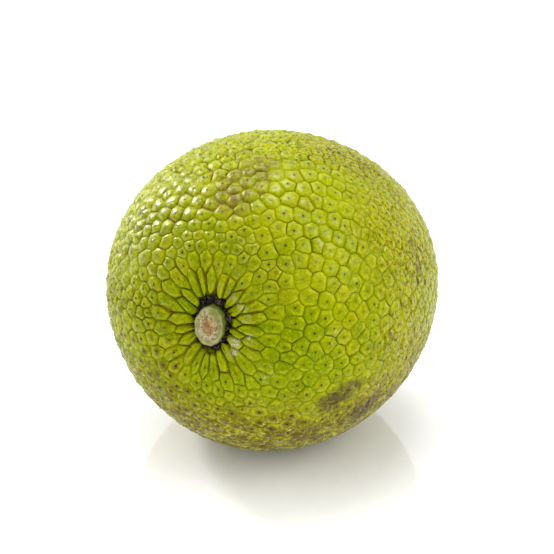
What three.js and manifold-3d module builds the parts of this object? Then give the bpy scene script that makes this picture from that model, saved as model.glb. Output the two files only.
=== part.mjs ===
// A breadfruit lying on its side, with the cut stub of its stalk standing in the pocket at its stem end.
// Millimetres, +Z up. The stalk points along -Y and slightly upwards. The fruit rests on a small flat spot,
// and the origin is the middle of the foot of its bounding box.
import * as THREE from 'three';
import { mergeVertices } from 'three/addons/utils/BufferGeometryUtils.js';
import Module from 'manifold-3d';

// Fruit body
const FRUIT_RADIUS = 75; // mean half width across the stem axis
const FRUIT_WIDENING = 1.019; // the section is this much wider than round across X
const FRUIT_FLATTENING = 0.987; // and this much lower, as it grew and as it lies
const STEM_HALF_LENGTH = 79.8; // widest section to the stem end, before the dimple
const BLOSSOM_HALF_LENGTH = 87.5; // widest section to the blossom end
const STEM_HALF_FULLNESS = 2.15; // 2 is an ellipse, more is a broader shoulder
const BLOSSOM_HALF_FULLNESS = 2.05;
const DIMPLE_DEPTH = 4.5; // the shallow funnel round the stalk
const DIMPLE_RADIUS = 26;
const LONG_SWELL = 1.74; // how far the body swells and sinks along its plain oval
const CROSS_SWELL = 0.79; // and across it
const AXIS_TILT = 14; // degrees that the stalk points above the horizontal
const FLAT_DEPTH = 1.8; // how much of the round underside the resting spot takes off

// Pocket that the stalk stands in
const POCKET_RADIUS = 10.7; // mean of the oval mouth
const POCKET_FLOOR_RADIUS = 9.8;
const POCKET_DEPTH = 3.2;
const POCKET_OVAL = 0.12; // the mouth is this share narrower across X and taller up and down
const OVAL_FADE_RADIUS = 30; // the oval fades out into the round shoulder

// Stalk stub and the ring of dry fibres at its foot
const STEM_RADIUS = 7.8; // mean of the oval cut face
const STEM_FOOT_RADIUS = 8;
const STEM_OVAL = 0.15;
const STEM_ABOVE_MOUTH = 3.6; // cut face above the pocket's mouth
const STEM_EDGE_RADIUS = 1.1; // rounded edge of the cut face
const STEM_CROWN = 0.5; // how far the cut face bulges
const COLLAR_HEIGHT = 2.3;
const COLLAR_SLOPE = 0.8; // the ring is this much lower at its outer edge
const GAP = 0.3; // between neighbouring solids

// Mesh fineness
const FRUIT_SEGMENTS = 64;
const STEM_SEGMENTS = 40;
const BLOSSOM_RINGS = 18;
const SHOULDER_RINGS = 15;
const EDGE_STEPS = 4;
const FUNNEL_RADII = [28, 24, 20, 17, 14.5, 12.4];
const SHOULDER_END = 33; // mean radius where the shoulder rings hand over to the funnel rings

const wasm = await Module();
wasm.setup();

// Height along the stem axis of the plain oval at a distance from the axis, on the stem's side.
function shoulderHeight(radius) {
	const share = (radius / FRUIT_RADIUS) ** STEM_HALF_FULLNESS;
	return STEM_HALF_LENGTH * (1 - share) ** (1 / STEM_HALF_FULLNESS);
}

// The same surface with the funnel round the stalk sunk into it.
function funnelHeight(radius) {
	return shoulderHeight(radius) - DIMPLE_DEPTH * Math.exp(-((radius / DIMPLE_RADIUS) ** 2));
}

const POCKET_MOUTH = funnelHeight(POCKET_RADIUS);
const POCKET_FLOOR = POCKET_MOUTH - POCKET_DEPTH;

// Half outline of the fruit, from the blossom end to the middle of the pocket floor. y runs towards the stalk.
function fruitOutline() {
	const points = [];
	for (let i = 0; i <= BLOSSOM_RINGS; i++) {
		const angle = (Math.PI / 2) * (i / BLOSSOM_RINGS);
		const radius = FRUIT_RADIUS * Math.sin(angle) ** (2 / BLOSSOM_HALF_FULLNESS);
		const height = BLOSSOM_HALF_LENGTH * Math.cos(angle) ** (2 / BLOSSOM_HALF_FULLNESS);
		points.push(new THREE.Vector2(radius, i === BLOSSOM_RINGS ? 0 : -height));
	}
	const endAngle = Math.asin((SHOULDER_END / FRUIT_RADIUS) ** (STEM_HALF_FULLNESS / 2));
	for (let i = 1; i <= SHOULDER_RINGS; i++) {
		const angle = THREE.MathUtils.lerp(Math.PI / 2, endAngle, i / SHOULDER_RINGS);
		const radius = FRUIT_RADIUS * Math.sin(angle) ** (2 / STEM_HALF_FULLNESS);
		points.push(new THREE.Vector2(radius, funnelHeight(radius)));
	}
	for (const radius of FUNNEL_RADII) {
		points.push(new THREE.Vector2(radius, funnelHeight(radius)));
	}
	points.push(new THREE.Vector2(POCKET_RADIUS, POCKET_MOUTH));
	points.push(new THREE.Vector2(POCKET_FLOOR_RADIUS, POCKET_FLOOR));
	points.push(new THREE.Vector2(STEM_RADIUS, POCKET_FLOOR));
	points.push(new THREE.Vector2(0, POCKET_FLOOR));
	return points;
}

// Moves every vertex by a function of its place.
function reshape(geometry, move) {
	const position = geometry.getAttribute('position');
	const point = new THREE.Vector3();
	for (let i = 0; i < position.count; i++) {
		point.fromBufferAttribute(position, i);
		move(point);
		position.setXYZ(i, point.x, point.y, point.z);
	}
	return geometry;
}

// Narrows a turned shape across X and stretches it up and down by a share that depends on the radius.
function makeOval(geometry, shareAt) {
	return reshape(geometry, (point) => {
		const share = shareAt(Math.hypot(point.x, point.z));
		point.x *= 1 - share;
		point.z *= 1 + share;
	});
}

// The long, low swellings that keep a grown fruit from being a perfect oval.
function swell(point) {
	const way = point.clone().normalize();
	const lengthways = Math.sin(2.6 * way.x - 1.9) * Math.cos(2.2 * way.y + 1.37);
	const crossways = Math.sin(3.1 * way.z - 2.3 * way.x + 0.22);
	const clearOfFunnel = 1 - Math.exp(-((Math.hypot(point.x, point.z) / OVAL_FADE_RADIUS) ** 4));
	point.addScaledVector(way, (LONG_SWELL * lengthways + CROSS_SWELL * crossways) * clearOfFunnel);
	point.x *= THREE.MathUtils.lerp(1, FRUIT_WIDENING, clearOfFunnel);
	point.z *= THREE.MathUtils.lerp(1, FRUIT_FLATTENING, clearOfFunnel);
}

// Turns a shape made along +Y so that the stalk points along -Y and slightly up.
function layDown(geometry) {
	return geometry.rotateX(Math.PI - THREE.MathUtils.degToRad(AXIS_TILT));
}

function toSolid(geometry) {
	const bare = geometry.clone();
	bare.deleteAttribute('normal');
	bare.deleteAttribute('uv');
	const merged = mergeVertices(bare, 1e-3);
	return new wasm.Manifold(new wasm.Mesh({
		numProp: 3,
		vertProperties: merged.getAttribute('position').array,
		triVerts: new Uint32Array(merged.index.array),
	}));
}

function toGeometry(solid) {
	const mesh = solid.getMesh();
	const geometry = new THREE.BufferGeometry();
	geometry.setAttribute('position', new THREE.BufferAttribute(mesh.vertProperties, 3));
	geometry.setIndex(new THREE.BufferAttribute(mesh.triVerts, 1));
	geometry.computeVertexNormals();
	return geometry;
}

// Takes off the lowest part of a body, which leaves the flat spot that it rests on.
function cutRestingSpot(geometry) {
	geometry.computeBoundingBox();
	const box = geometry.boundingBox;
	const flatHeight = box.min.z + FLAT_DEPTH;
	const side = 4 * FRUIT_RADIUS;
	const below = new THREE.BoxGeometry(side, side, side);
	below.translate(0, 0, flatHeight - side / 2);
	return toGeometry(toSolid(geometry).subtract(toSolid(below)));
}

function makeFruitBody() {
	const geometry = new THREE.LatheGeometry(fruitOutline(), FRUIT_SEGMENTS);
	reshape(geometry, swell);
	makeOval(geometry, (radius) => POCKET_OVAL * Math.exp(-((radius / OVAL_FADE_RADIUS) ** 2)));
	const material = new THREE.MeshStandardMaterial({ color: 0xa7ad1f, roughness: 0.42, metalness: 0 });
	const mesh = new THREE.Mesh(cutRestingSpot(layDown(geometry)), material);
	mesh.name = 'fruit_body';
	return mesh;
}

// A stub with a slightly flared foot, a rounded edge and a faintly bulging cut face.
function makeStem() {
	const top = POCKET_MOUTH + STEM_ABOVE_MOUTH;
	const bottom = POCKET_FLOOR + GAP;
	const points = [new THREE.Vector2(0, bottom), new THREE.Vector2(STEM_FOOT_RADIUS, bottom)];
	for (let i = 0; i <= EDGE_STEPS; i++) {
		const angle = (Math.PI / 2) * (i / EDGE_STEPS);
		points.push(new THREE.Vector2(
			STEM_RADIUS - STEM_EDGE_RADIUS * (1 - Math.cos(angle)),
			top - STEM_CROWN - STEM_EDGE_RADIUS * (1 - Math.sin(angle)),
		));
	}
	points.push(new THREE.Vector2(STEM_RADIUS / 2, top - STEM_CROWN / 3));
	points.push(new THREE.Vector2(0, top));
	const geometry = makeOval(new THREE.LatheGeometry(points, STEM_SEGMENTS), () => STEM_OVAL);
	const material = new THREE.MeshStandardMaterial({ color: 0xa99a5d, roughness: 0.7, metalness: 0 });
	const mesh = new THREE.Mesh(layDown(geometry), material);
	mesh.name = 'stem';
	return mesh;
}

// The ring of dry, torn fibres that fills the pocket between the stalk and the fruit.
function makeStemCollar() {
	const inner = STEM_FOOT_RADIUS + GAP;
	const outer = POCKET_FLOOR_RADIUS - GAP;
	const bottom = POCKET_FLOOR + GAP;
	const top = bottom + COLLAR_HEIGHT;
	const points = [
		new THREE.Vector2(inner, bottom),
		new THREE.Vector2(outer, bottom),
		new THREE.Vector2(outer, top - COLLAR_SLOPE),
		new THREE.Vector2(inner, top),
		new THREE.Vector2(inner, bottom),
	];
	const ovalAt = (radius) => THREE.MathUtils.mapLinear(radius, inner, outer, STEM_OVAL, POCKET_OVAL);
	const geometry = makeOval(new THREE.LatheGeometry(points, STEM_SEGMENTS), ovalAt);
	const material = new THREE.MeshStandardMaterial({ color: 0x3a2c1c, roughness: 0.95, metalness: 0 });
	const mesh = new THREE.Mesh(layDown(geometry), material);
	mesh.name = 'stem_collar';
	return mesh;
}

const breadfruit = new THREE.Group();
breadfruit.add(makeFruitBody(), makeStemCollar(), makeStem());
const extent = new THREE.Box3().setFromObject(breadfruit, true);
const middle = extent.getCenter(new THREE.Vector3());
breadfruit.children.forEach((mesh) => mesh.position.set(-middle.x, -middle.y, -extent.min.z));

export default breadfruit;
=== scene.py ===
import math
import random

import bmesh
import bpy
from mathutils import Matrix, Vector, noise
from mathutils.bvhtree import BVHTree


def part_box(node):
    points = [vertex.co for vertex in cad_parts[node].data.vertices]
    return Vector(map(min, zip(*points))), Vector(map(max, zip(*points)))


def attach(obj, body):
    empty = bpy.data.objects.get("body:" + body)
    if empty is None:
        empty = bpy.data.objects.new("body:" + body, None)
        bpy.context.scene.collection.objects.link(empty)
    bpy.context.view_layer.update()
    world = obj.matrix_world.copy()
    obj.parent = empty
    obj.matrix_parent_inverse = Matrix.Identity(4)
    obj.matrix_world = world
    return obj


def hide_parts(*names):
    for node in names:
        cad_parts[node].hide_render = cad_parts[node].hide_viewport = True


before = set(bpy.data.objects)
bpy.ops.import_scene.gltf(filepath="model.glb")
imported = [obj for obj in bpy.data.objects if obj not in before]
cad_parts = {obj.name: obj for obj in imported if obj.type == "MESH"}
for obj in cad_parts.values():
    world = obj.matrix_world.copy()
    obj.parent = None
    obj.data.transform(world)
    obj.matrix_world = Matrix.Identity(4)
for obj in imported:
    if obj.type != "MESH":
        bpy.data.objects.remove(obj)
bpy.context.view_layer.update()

scene = bpy.context.scene
scene.view_settings.view_transform = "Standard"
noise.seed_set(7)  # or noise_vector would differ from run to run


# where the stalk stands and which way it points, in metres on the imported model
stalk = {
    "tilt": 14.0,  # degrees above the horizontal
    "coreDepth": 0.0715,  # from the middle of the collar back to the middle of the fruit's core
    "mouthRise": 0.0014,  # from the middle of the collar out to the pocket's mouth
    "skinRise": 0.003,  # and out to the skin round the pocket
    "mouthOval": 0.12,  # the pocket is this share narrower across and taller up and down
    "ovalFade": 0.030,  # the skin round it loses that oval over this distance
    "oval": 0.15,  # the stalk's own oval
}


def boxCentre(node):
    low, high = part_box(node)
    return (Vector(low) + Vector(high)) / 2


tilt = math.radians(stalk["tilt"])
stalkWay = Vector((0, -math.cos(tilt), math.sin(tilt)))
acrossWay = Vector((1, 0, 0))
upWay = Vector((0, math.sin(tilt), math.cos(tilt)))
pocketCentre = boxCentre("stem_collar")
mouthCentre = pocketCentre + stalkWay * stalk["mouthRise"]
coreCentre = pocketCentre - stalkWay * stalk["coreDepth"]
skinDepth = stalk["coreDepth"] + stalk["skinRise"]
fruitCentre = boxCentre("fruit_body")


# azimuth 0 looks at the fruit along +Y, and 90 stands on its +X side
def wayFromFruit(azimuth, elevation):
    turn, lift = math.radians(azimuth), math.radians(elevation)
    return Vector((math.sin(turn) * math.cos(lift), -math.cos(turn) * math.cos(lift), math.sin(lift)))


# a direction from the core that meets the skin this far from the stalk's axis
def wayNearStalk(distance, angle):
    share = stalk["mouthOval"] * math.exp(-(distance / stalk["ovalFade"]) ** 2)
    across = distance * math.cos(angle) * (1 - share)
    up = distance * math.sin(angle) * (1 + share)
    return (stalkWay * skinDepth + acrossWay * across + upWay * up).normalized()


def distanceFromStalk(way):
    along = max(way.dot(stalkWay), 0.05)  # never zero, and the far side counts as far away
    return math.hypot(way.dot(acrossWay), way.dot(upWay)) / along * skinDepth


def randomVector(rng, size):
    return Vector([rng.uniform(-size, size) for axis in range(3)])


def makeObject(name, bm):
    mesh = bpy.data.meshes.new(name)
    bm.to_mesh(mesh)
    bm.free()
    for polygon in mesh.polygons:
        polygon.use_smooth = True
    piece = bpy.data.objects.new(name, mesh)
    scene.collection.objects.link(piece)
    return piece


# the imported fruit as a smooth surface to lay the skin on
def smoothCore():
    bm = bmesh.new()
    bm.from_mesh(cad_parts["fruit_body"].data)
    bmesh.ops.remove_doubles(bm, verts=bm.verts, dist=0.00001)
    core = makeObject("core", bm)
    rounding = core.modifiers.new("rounding", "SUBSURF")
    rounding.levels = rounding.render_levels = 2
    bpy.context.view_layer.update()
    tree = BVHTree.FromObject(core, bpy.context.evaluated_depsgraph_get())
    bpy.data.objects.remove(core)
    return tree


coreTree = smoothCore()
print("core ready")


def onCore(way):
    place, normal = coreTree.ray_cast(coreCentre, way)[:2]
    return place, normal


# the rind: one skin of polygonal cells
rind = {
    "cells": 1650,
    # rings of cells round the stalk, before they are drawn in:
    # distance from its axis, number, and straying sideways and lengthways
    "rings": ((0.0170, 21, 0.14, 0.03), (0.0230, 21, 0.28, 0.05), (0.0286, 28, 0.20, 0.05),
              (0.0332, 35, 0.20, 0.06), (0.0390, 43, 0.20, 0.06)),
    "heldRings": 2,  # the pocket's edge and the petals keep their places
    "ringsClear": 0.0034,  # the evenly spread cells begin this far beyond the last ring
    "shortSide": 0.03,  # rings past the pocket's edge stand this share nearer towards +X
    # the rings are drawn in towards the stalk, which stretches the innermost into petals
    "drawIn": 0.0095,
    "drawReach": 0.0200,
    "drawFade": 0.0075,
    "wander": 0.34,  # how far a cell strays from its even place, in cell widths
    "relaxRounds": 2,
    "shortest": 0.0010,  # borders shorter than this close up
    "longest": 0.0031,  # and longer ones bend
    "borderWiggle": 0.00024,
    "ball": 0.078,  # mean radius, for sizes given on the ball of cells
    "petalReach": 0.0195,  # petals' middles lie nearer to the stalk's axis than this
    "elongatedReach": 0.034,  # and those of other stretched cells nearer than this
    "plainSide": (42, 2),  # azimuth and elevation of the side with the flattest cells
    "knobs": 1.05,  # how far cells stand up as knobs on the other sides
    "plainLoss": 1.25,  # what the plain side takes off
    "plainNarrowness": 1.15,
    "knobWave": (2.6, 0.40),  # and what varies from place to place: its pace and its strength
    "wornFrom": -0.50,  # the underside is worn smooth below this height, on a ball of radius 1
    "wornLoss": 1.5,
    # how far open the borders are: 0 is grown shut, 1 is a dark crack
    "open": 0.38,
    "openOnKnobs": 0.14,  # added on knobs
    "openWaves": ((55, 0.5), (160, 0.4)),  # what varies from place to place: its pace and its strength
    "openStray": 0.45,
    "openRange": (0.05, 1.1),
    "closingFrom": -0.06,  # borders close up below this height, on a ball of radius 1
    "closingFade": 0.30,
    "closing": 0.30,
    "petalOpen": (1.20, 0.70),  # beside the stalk, and what is lost by the petals' ends
    "petalOpenStray": (0.8, 1.2),
    "cornerOpen": (1.3, 1.2),  # a corner is this much more open than its borders, up to this far
    "closedGap": 0.00006,  # depth of a border grown shut
    "openGap": (0.00044, 0.00080),  # and of an open one, between flat cells and between knobs
    "petalGap": 0.0013,
    "cornerGap": 0.00022,  # extra depth where three cells meet
    # pairs are for flat cells and for knobs, or the least and the most where a value strays or is drawn
    "rounded": (0.10, 0.40),  # how far the outline is rounded off
    "petalRounded": 0.40,
    "roundReach": 0.98,  # a rounded outline lies at this share of the cell's mean reach
    "lip": (0.00020, 0.00026),  # how far in the border's slope begins
    "lipLevel": 0.04,
    "shoulder": (0.00046, 0.00084),  # and how far in it ends
    "widest": 0.6,  # but neither is further in than this share of the way
    "sunken": (0.52, 0.10),  # share of the border's depth that is left at the lip and at the shoulder
    "shares": (0.42, 0.74),  # rings between the shoulder and the point, as shares of the way in
    "flatProfile": (0.72, 0.98, 1.0, 0.90),  # heights at the shoulder, the two rings and the point
    "knobProfile": (0.34, 0.70, 0.94, 1.06),
    "petalProfile": (0.56, 0.80, 0.96, 1.0),
    "dome": (0.00038, 0.00074),
    "domeStray": (0.75, 1.25),
    "petalDome": 0.0015,
    "petalDomeStray": (0.8, 1.15),
    "stand": 0.00014,  # how far a whole cell stands above or below its neighbours
    "lean": 0.060,  # greatest slope of a cell's face
    "leanGrowth": 1.6,  # the slope and the dents grow this much faster than the height
    "dent": (0.00008, 0.00022),
    "dentPace": 620,
    "dentGrowth": 2,
    "pointStray": 0.0005,
    "pointRadius": (0.00026, 0.00052),  # drawn
    "pointRise": (0.00006, 0.00042),  # drawn
    "pointRiseShare": (0.3, 1.1),  # share of it on flat cells, and what knobs add
    "pointForce": (0.6, 1.0),  # how dark a point is, drawn
    "faintForce": (0.0, 0.4),  # drawn
    "faintPoints": 0.10,  # share of the cells with a faint point
    "petalForce": 0.08,
    "inset": 0.00002,  # makes a ring of faces, before they are put in place
    "farGap": 0.004,  # stands for no seam or point nearby
    "farForce": 0.3,
    "pocketRadii": (0.0096, 0.0064),  # the wall's foot, and a ring in the floor
    "pocketSink": 0.0002,
    # small marks on the skin fade towards the blossom end: from where, over how far, and how much
    "blossomFade": (0.05, 0.5, 0.75),
    "seed": 11,
}
plainWay = wayFromFruit(*rind["plainSide"])


def seedWays(rng):
    ways = [stalkWay.copy()]
    for row, (distance, count, sideways, lengthways) in enumerate(rind["rings"]):
        halfStep = 0.5 * (max(row, 1) % 2)  # the first two rings stand in line, and the rest alternate
        for i in range(count):
            angle = 2 * math.pi * (i + halfStep + rng.uniform(-1, 1) * sideways) / count
            length = 1 + rng.uniform(-1, 1) * lengthways - rind["shortSide"] * math.cos(angle) * (row > 0)
            ways.append(wayNearStalk(distance * length, angle))
        if row + 1 == rind["heldRings"]:
            fixedCount = len(ways)
    turn = math.pi * (3 - math.sqrt(5))
    step = math.sqrt(4 * math.pi / rind["cells"])
    clearOf = rind["rings"][-1][0] + rind["ringsClear"]
    for i in range(rind["cells"]):
        height = 1 - 2 * (i + 0.5) / rind["cells"]
        level = math.sqrt(1 - height * height)
        way = stalkWay * height
        way += (acrossWay * math.cos(turn * i) + upWay * math.sin(turn * i)) * level
        way += randomVector(rng, step * rind["wander"])
        way.normalize()
        if way.dot(stalkWay) < 0 or distanceFromStalk(way) > clearOf:
            ways.append(way)
    return ways, fixedCount


def relax(ways, fixedCount):
    for turn in range(rind["relaxRounds"]):
        bm = bmesh.new()
        seeds = [bm.verts.new(way) for way in ways]
        bmesh.ops.convex_hull(bm, input=seeds)
        bmesh.ops.smooth_vert(bm, verts=seeds[fixedCount:], factor=0.5,
                              use_axis_x=True, use_axis_y=True, use_axis_z=True)
        ways = [seed.co.normalized() for seed in seeds]
        bm.free()
    return ways


# the cells round the seeds: each corner lies evenly between three of them
def cellNet(ways):
    bm = bmesh.new()
    seeds = [bm.verts.new(way) for way in ways]
    bmesh.ops.convex_hull(bm, input=seeds)
    spokes = bm.edges[:]
    corners = bmesh.ops.poke(bm, faces=bm.faces[:])["verts"]
    bm.normal_update()
    for corner in corners:
        corner.co = corner.normal * (1 if corner.normal.dot(corner.co) > 0 else -1)
    bmesh.ops.dissolve_edges(bm, edges=spokes, use_verts=False)
    bmesh.ops.connect_verts(bm, verts=corners)
    bmesh.ops.dissolve_verts(bm, verts=seeds)
    for vert in bm.verts:
        vert.co = vert.co.normalized() * rind["ball"]
    bmesh.ops.remove_doubles(bm, verts=bm.verts, dist=rind["shortest"])
    bmesh.ops.recalc_face_normals(bm, faces=bm.faces)
    return bm


def nearStalk(place, reach):
    return place.dot(stalkWay) > 0 and distanceFromStalk(place) < reach


def drawIn(place):
    if not nearStalk(place, rind["drawReach"] + 3 * rind["drawFade"]):
        return place
    distance = distanceFromStalk(place)
    beyond = max(distance - rind["drawReach"], 0) / rind["drawFade"]
    pull = rind["drawIn"] * min(distance / rind["drawReach"], 1) * math.exp(-beyond ** 2)
    angle = math.atan2(place.dot(upWay), place.dot(acrossWay))
    return wayNearStalk(distance - pull, angle) * rind["ball"]


# how far open a border between two cells is
def borderForce(middle, rng):
    if nearStalk(middle, rind["petalReach"]):
        most, loss = rind["petalOpen"]
        outwards = distanceFromStalk(middle) / rind["petalReach"]
        return rng.uniform(*rind["petalOpenStray"]) * (most - loss * outwards)
    patch = sum(noise.noise(middle * pace) * strength for pace, strength in rind["openWaves"])
    value = rind["open"] + rind["openOnKnobs"] * knobbliness(middle) + patch
    value += rng.uniform(-rind["openStray"], rind["openStray"])
    lowness = min(max((rind["closingFrom"] - middle.normalized().z) / rind["closingFade"], 0), 1)
    least, most = rind["openRange"]
    return min(max(value - rind["closing"] * lowness, least), most)


# 0 where cells are flat plates, 1 where they stand up in knobs
def knobbliness(place):
    way = place.normalized()
    pace, strength = rind["knobWave"]
    plainness = max(way.dot(plainWay), 0) ** rind["plainNarrowness"]
    value = rind["knobs"] - rind["plainLoss"] * plainness + strength * noise.noise(way * pace)
    value -= max(rind["wornFrom"] - way.z, 0) * rind["wornLoss"]
    return min(max(value, 0.0), 1.0)


# this share of the way from the first value to the second
def between(pair, share):
    return pair[0] + (pair[1] - pair[0]) * share


# half of the long middle line of a stretched cell; nothing in a round one
def cellSpine(centre, border):
    if not nearStalk(centre, rind["elongatedReach"]):
        return Vector()
    along = (centre - stalkWay * centre.dot(stalkWay)).normalized()
    side = along.cross(centre).normalized()
    along = centre.cross(side).normalized()
    halfLength = max(abs((place - centre).dot(along)) for place in border)
    halfWidth = max(abs((place - centre).dot(side)) for place in border)
    return along * max(halfLength - halfWidth, 0)


def newCell(face, layers, rng):
    centre = face.calc_center_median()
    petal = nearStalk(centre, rind["petalReach"])
    knob = knobbliness(centre)
    border = [vert.co.copy() for vert in face.verts]
    spine = cellSpine(centre, border)
    if not petal:
        centre = centre + randomVector(rng, rind["pointStray"])
    cell = {"face": face, "centre": centre, "petal": petal, "border": border}
    cell["force"] = [vert[layers["seamForce"]] for vert in face.verts]
    cell["rim"] = [vert[layers["height"]] for vert in face.verts]
    cell["feet"] = []  # where each corner's way in ends, on the cell's middle line
    for place in border:
        reach = spine.length
        if reach:
            along = max(min((place - centre).dot(spine / reach), reach), -reach)
            cell["feet"].append(centre + spine / reach * along)
        else:
            cell["feet"].append(centre)
    reaches = [(place - foot).length for place, foot in zip(border, cell["feet"])]
    even = sum(reaches) / len(reaches) * rind["roundReach"]
    rounded = rind["petalRounded"] if petal else between(rind["rounded"], knob)
    cell["outline"] = [reach + (min(reach, even) - reach) * rounded for reach in reaches]
    cell["profile"] = [between(pair, knob) for pair in zip(rind["flatProfile"], rind["knobProfile"])]
    cell["lip"] = between(rind["lip"], knob)
    cell["shoulder"] = between(rind["shoulder"], knob)
    cell["dome"] = between(rind["dome"], knob) * rng.uniform(*rind["domeStray"])
    flatShare, knobShare = rind["pointRiseShare"]
    cell["rise"] = rng.uniform(*rind["pointRise"]) * (flatShare + knobShare * knob)
    cell["dent"] = between(rind["dent"], knob)
    cell["stand"] = rng.uniform(-1, 1) * rind["stand"]
    cell["lean"] = randomVector(rng, rng.uniform(0, rind["lean"]))
    cell["pointRadius"] = rng.uniform(*rind["pointRadius"])
    if petal:
        cell["profile"] = rind["petalProfile"]
        cell["dome"] = rind["petalDome"] * rng.uniform(*rind["petalDomeStray"])
        cell["rise"] = 0
    return cell


# one ring inside a cell's border: how far in, how high, and what the finish is told
def shapeRing(layers, cell, level, share=0.0, width=0.0, sink=0.0):
    for i, vert in enumerate(cell["face"].verts):
        foot, outline = cell["feet"][i], cell["outline"][i]
        inwards = max(share * outline, min(width, rind["widest"] * outline))
        vert.co = foot + (cell["border"][i] - foot).normalized() * (outline - inwards)
        dent = noise.noise(vert.co * rind["dentPace"]) * cell["dent"] * min(level * rind["dentGrowth"], 1)
        rise = (cell["dome"] + cell["stand"]) * level
        rise += cell["lean"].dot(vert.co - cell["centre"]) * min(level * rind["leanGrowth"], 1) + dent
        vert[layers["height"]] = rise + cell["rim"][i] * sink
        vert[layers["seamGap"]] = inwards
        vert[layers["seamForce"]] = cell["force"][i]
        vert[layers["pointGap"]] = (vert.co - cell["centre"]).length


def shapePoint(layers, cell):
    for i, vert in enumerate(cell["face"].verts):
        away = cell["border"][i] - cell["centre"]
        vert.co = cell["centre"] + away.normalized() * cell["pointRadius"]
        vert[layers["height"]] = cell["dome"] * cell["profile"][3] + cell["stand"]
        vert[layers["seamGap"]] = away.length
        vert[layers["seamForce"]] = cell["force"][i]
        vert[layers["pointGap"]] = cell["pointRadius"]


def buildCells(bm, layers, rng):
    tone, warm, mark = [bm.faces.layers.float.new(n) for n in ("cellTone", "cellWarm", "pointForce")]
    cells = [newCell(face, layers, rng) for face in bm.faces[:]]
    for cell in cells:
        face = cell["face"]
        face[tone], face[warm] = rng.random(), rng.random()
        force = rind["pointForce"] if rng.random() > rind["faintPoints"] else rind["faintForce"]
        face[mark] = rng.uniform(*force)
        if cell["petal"]:
            face[mark] *= rind["petalForce"]
    faces = [cell["face"] for cell in cells]

    def addRing(shape):
        bmesh.ops.inset_individual(bm, faces=faces, thickness=rind["inset"])
        for cell in cells:
            shape(cell)

    atLip, atShoulder = rind["sunken"]
    addRing(lambda cell: shapeRing(layers, cell, rind["lipLevel"], width=cell["lip"], sink=atLip))
    addRing(lambda cell: shapeRing(layers, cell, cell["profile"][0], width=cell["shoulder"],
                                   sink=atShoulder))
    for row, share in enumerate(rind["shares"]):
        addRing(lambda cell: shapeRing(layers, cell, cell["profile"][row + 1], share=share))
    addRing(lambda cell: shapePoint(layers, cell))
    tips = bmesh.ops.poke(bm, faces=faces)["verts"]
    for tip, cell in zip(tips, cells):
        tip.co = cell["centre"]
        tip[layers["height"]] = cell["dome"] * cell["profile"][3] + cell["stand"] + cell["rise"]
        tip[layers["seamGap"]] = rind["farGap"]
        tip[layers["seamForce"]] = rind["farForce"]


def buildRind():
    rng = random.Random(rind["seed"])
    ways, fixedCount = seedWays(rng)
    bm = cellNet(relax(ways, fixedCount))
    pocketReach = (rind["rings"][0][0] + rind["drawReach"]) / 2
    pocketCells = [face for face in bm.faces if nearStalk(face.calc_center_median(), pocketReach)]
    bmesh.ops.delete(bm, geom=pocketCells, context="FACES")
    for vert in bm.verts:
        vert.co = drawIn(vert.co)
    print("cells", len(bm.faces))

    force = bm.edges.layers.float.new("force")
    for edge in bm.edges:
        edge[force] = borderForce((edge.verts[0].co + edge.verts[1].co) / 2, rng)
    corners = set(bm.verts)
    longEdges = [edge for edge in bm.edges if edge.calc_length() > rind["longest"]]
    bmesh.ops.bisect_edges(bm, edges=longEdges, cuts=1)

    names = ("height", "seamGap", "seamForce", "pointGap", "rugged")
    layers = {n: bm.verts.layers.float.new(n) for n in names}
    cornerShare, cornerMost = rind["cornerOpen"]
    for vert in bm.verts:
        values = [edge[force] for edge in vert.link_edges]
        mean = sum(values) / len(values)
        deepest = between(rind["openGap"], knobbliness(vert.co))
        if nearStalk(vert.co, rind["petalReach"]):
            deepest = rind["petalGap"]
        depth = between((rind["closedGap"], deepest), mean)
        if vert in corners:
            mean = min(mean * cornerShare, cornerMost)
            depth += rind["cornerGap"] * mean
        vert[layers["seamForce"]] = mean
        vert[layers["height"]] = -depth
        vert[layers["pointGap"]] = rind["farGap"]
        vert.co += randomVector(rng, rind["borderWiggle"])
    buildCells(bm, layers, rng)

    # the pocket's wall and floor close the skin behind the fibres
    for radius in rind["pocketRadii"]:
        edges = [edge for edge in bm.edges if edge.is_boundary]
        grown = bmesh.ops.extrude_edge_only(bm, edges=edges)["geom"]
        for vert in [item for item in grown if isinstance(item, bmesh.types.BMVert)]:
            angle = math.atan2(vert.co.dot(upWay), vert.co.dot(acrossWay))
            vert.co = wayNearStalk(radius, angle) * rind["ball"]
            vert[layers["height"]] = -rind["pocketSink"]
    bmesh.ops.contextual_create(bm, geom=[edge for edge in bm.edges if edge.is_boundary])

    # everything so far lies on a ball: bring it onto the fruit
    start, fade, loss = rind["blossomFade"]
    for vert in bm.verts:
        way = vert.co.normalized()
        towardsBlossom = min(max((-way.dot(stalkWay) - start) / fade, 0), 1)
        vert[layers["rugged"]] = knobbliness(vert.co) * (1 - loss * towardsBlossom)
        place, normal = onCore(way)
        vert.co = place + normal * vert[layers["height"]]
        vert.co.z = max(vert.co.z, 0.0)
    bmesh.ops.recalc_face_normals(bm, faces=bm.faces)
    # the wall's faces come in any order: put all in the same order each run
    bm.faces.sort(key=lambda face: face.calc_center_median().dot(stalkWay + acrossWay))
    piece = makeObject("rind", bm)
    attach(piece, "root")
    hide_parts("fruit_body")
    return piece


rindPiece = buildRind()
print("rind", sum(len(polygon.vertices) - 2 for polygon in rindPiece.data.polygons), "triangles")


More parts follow.
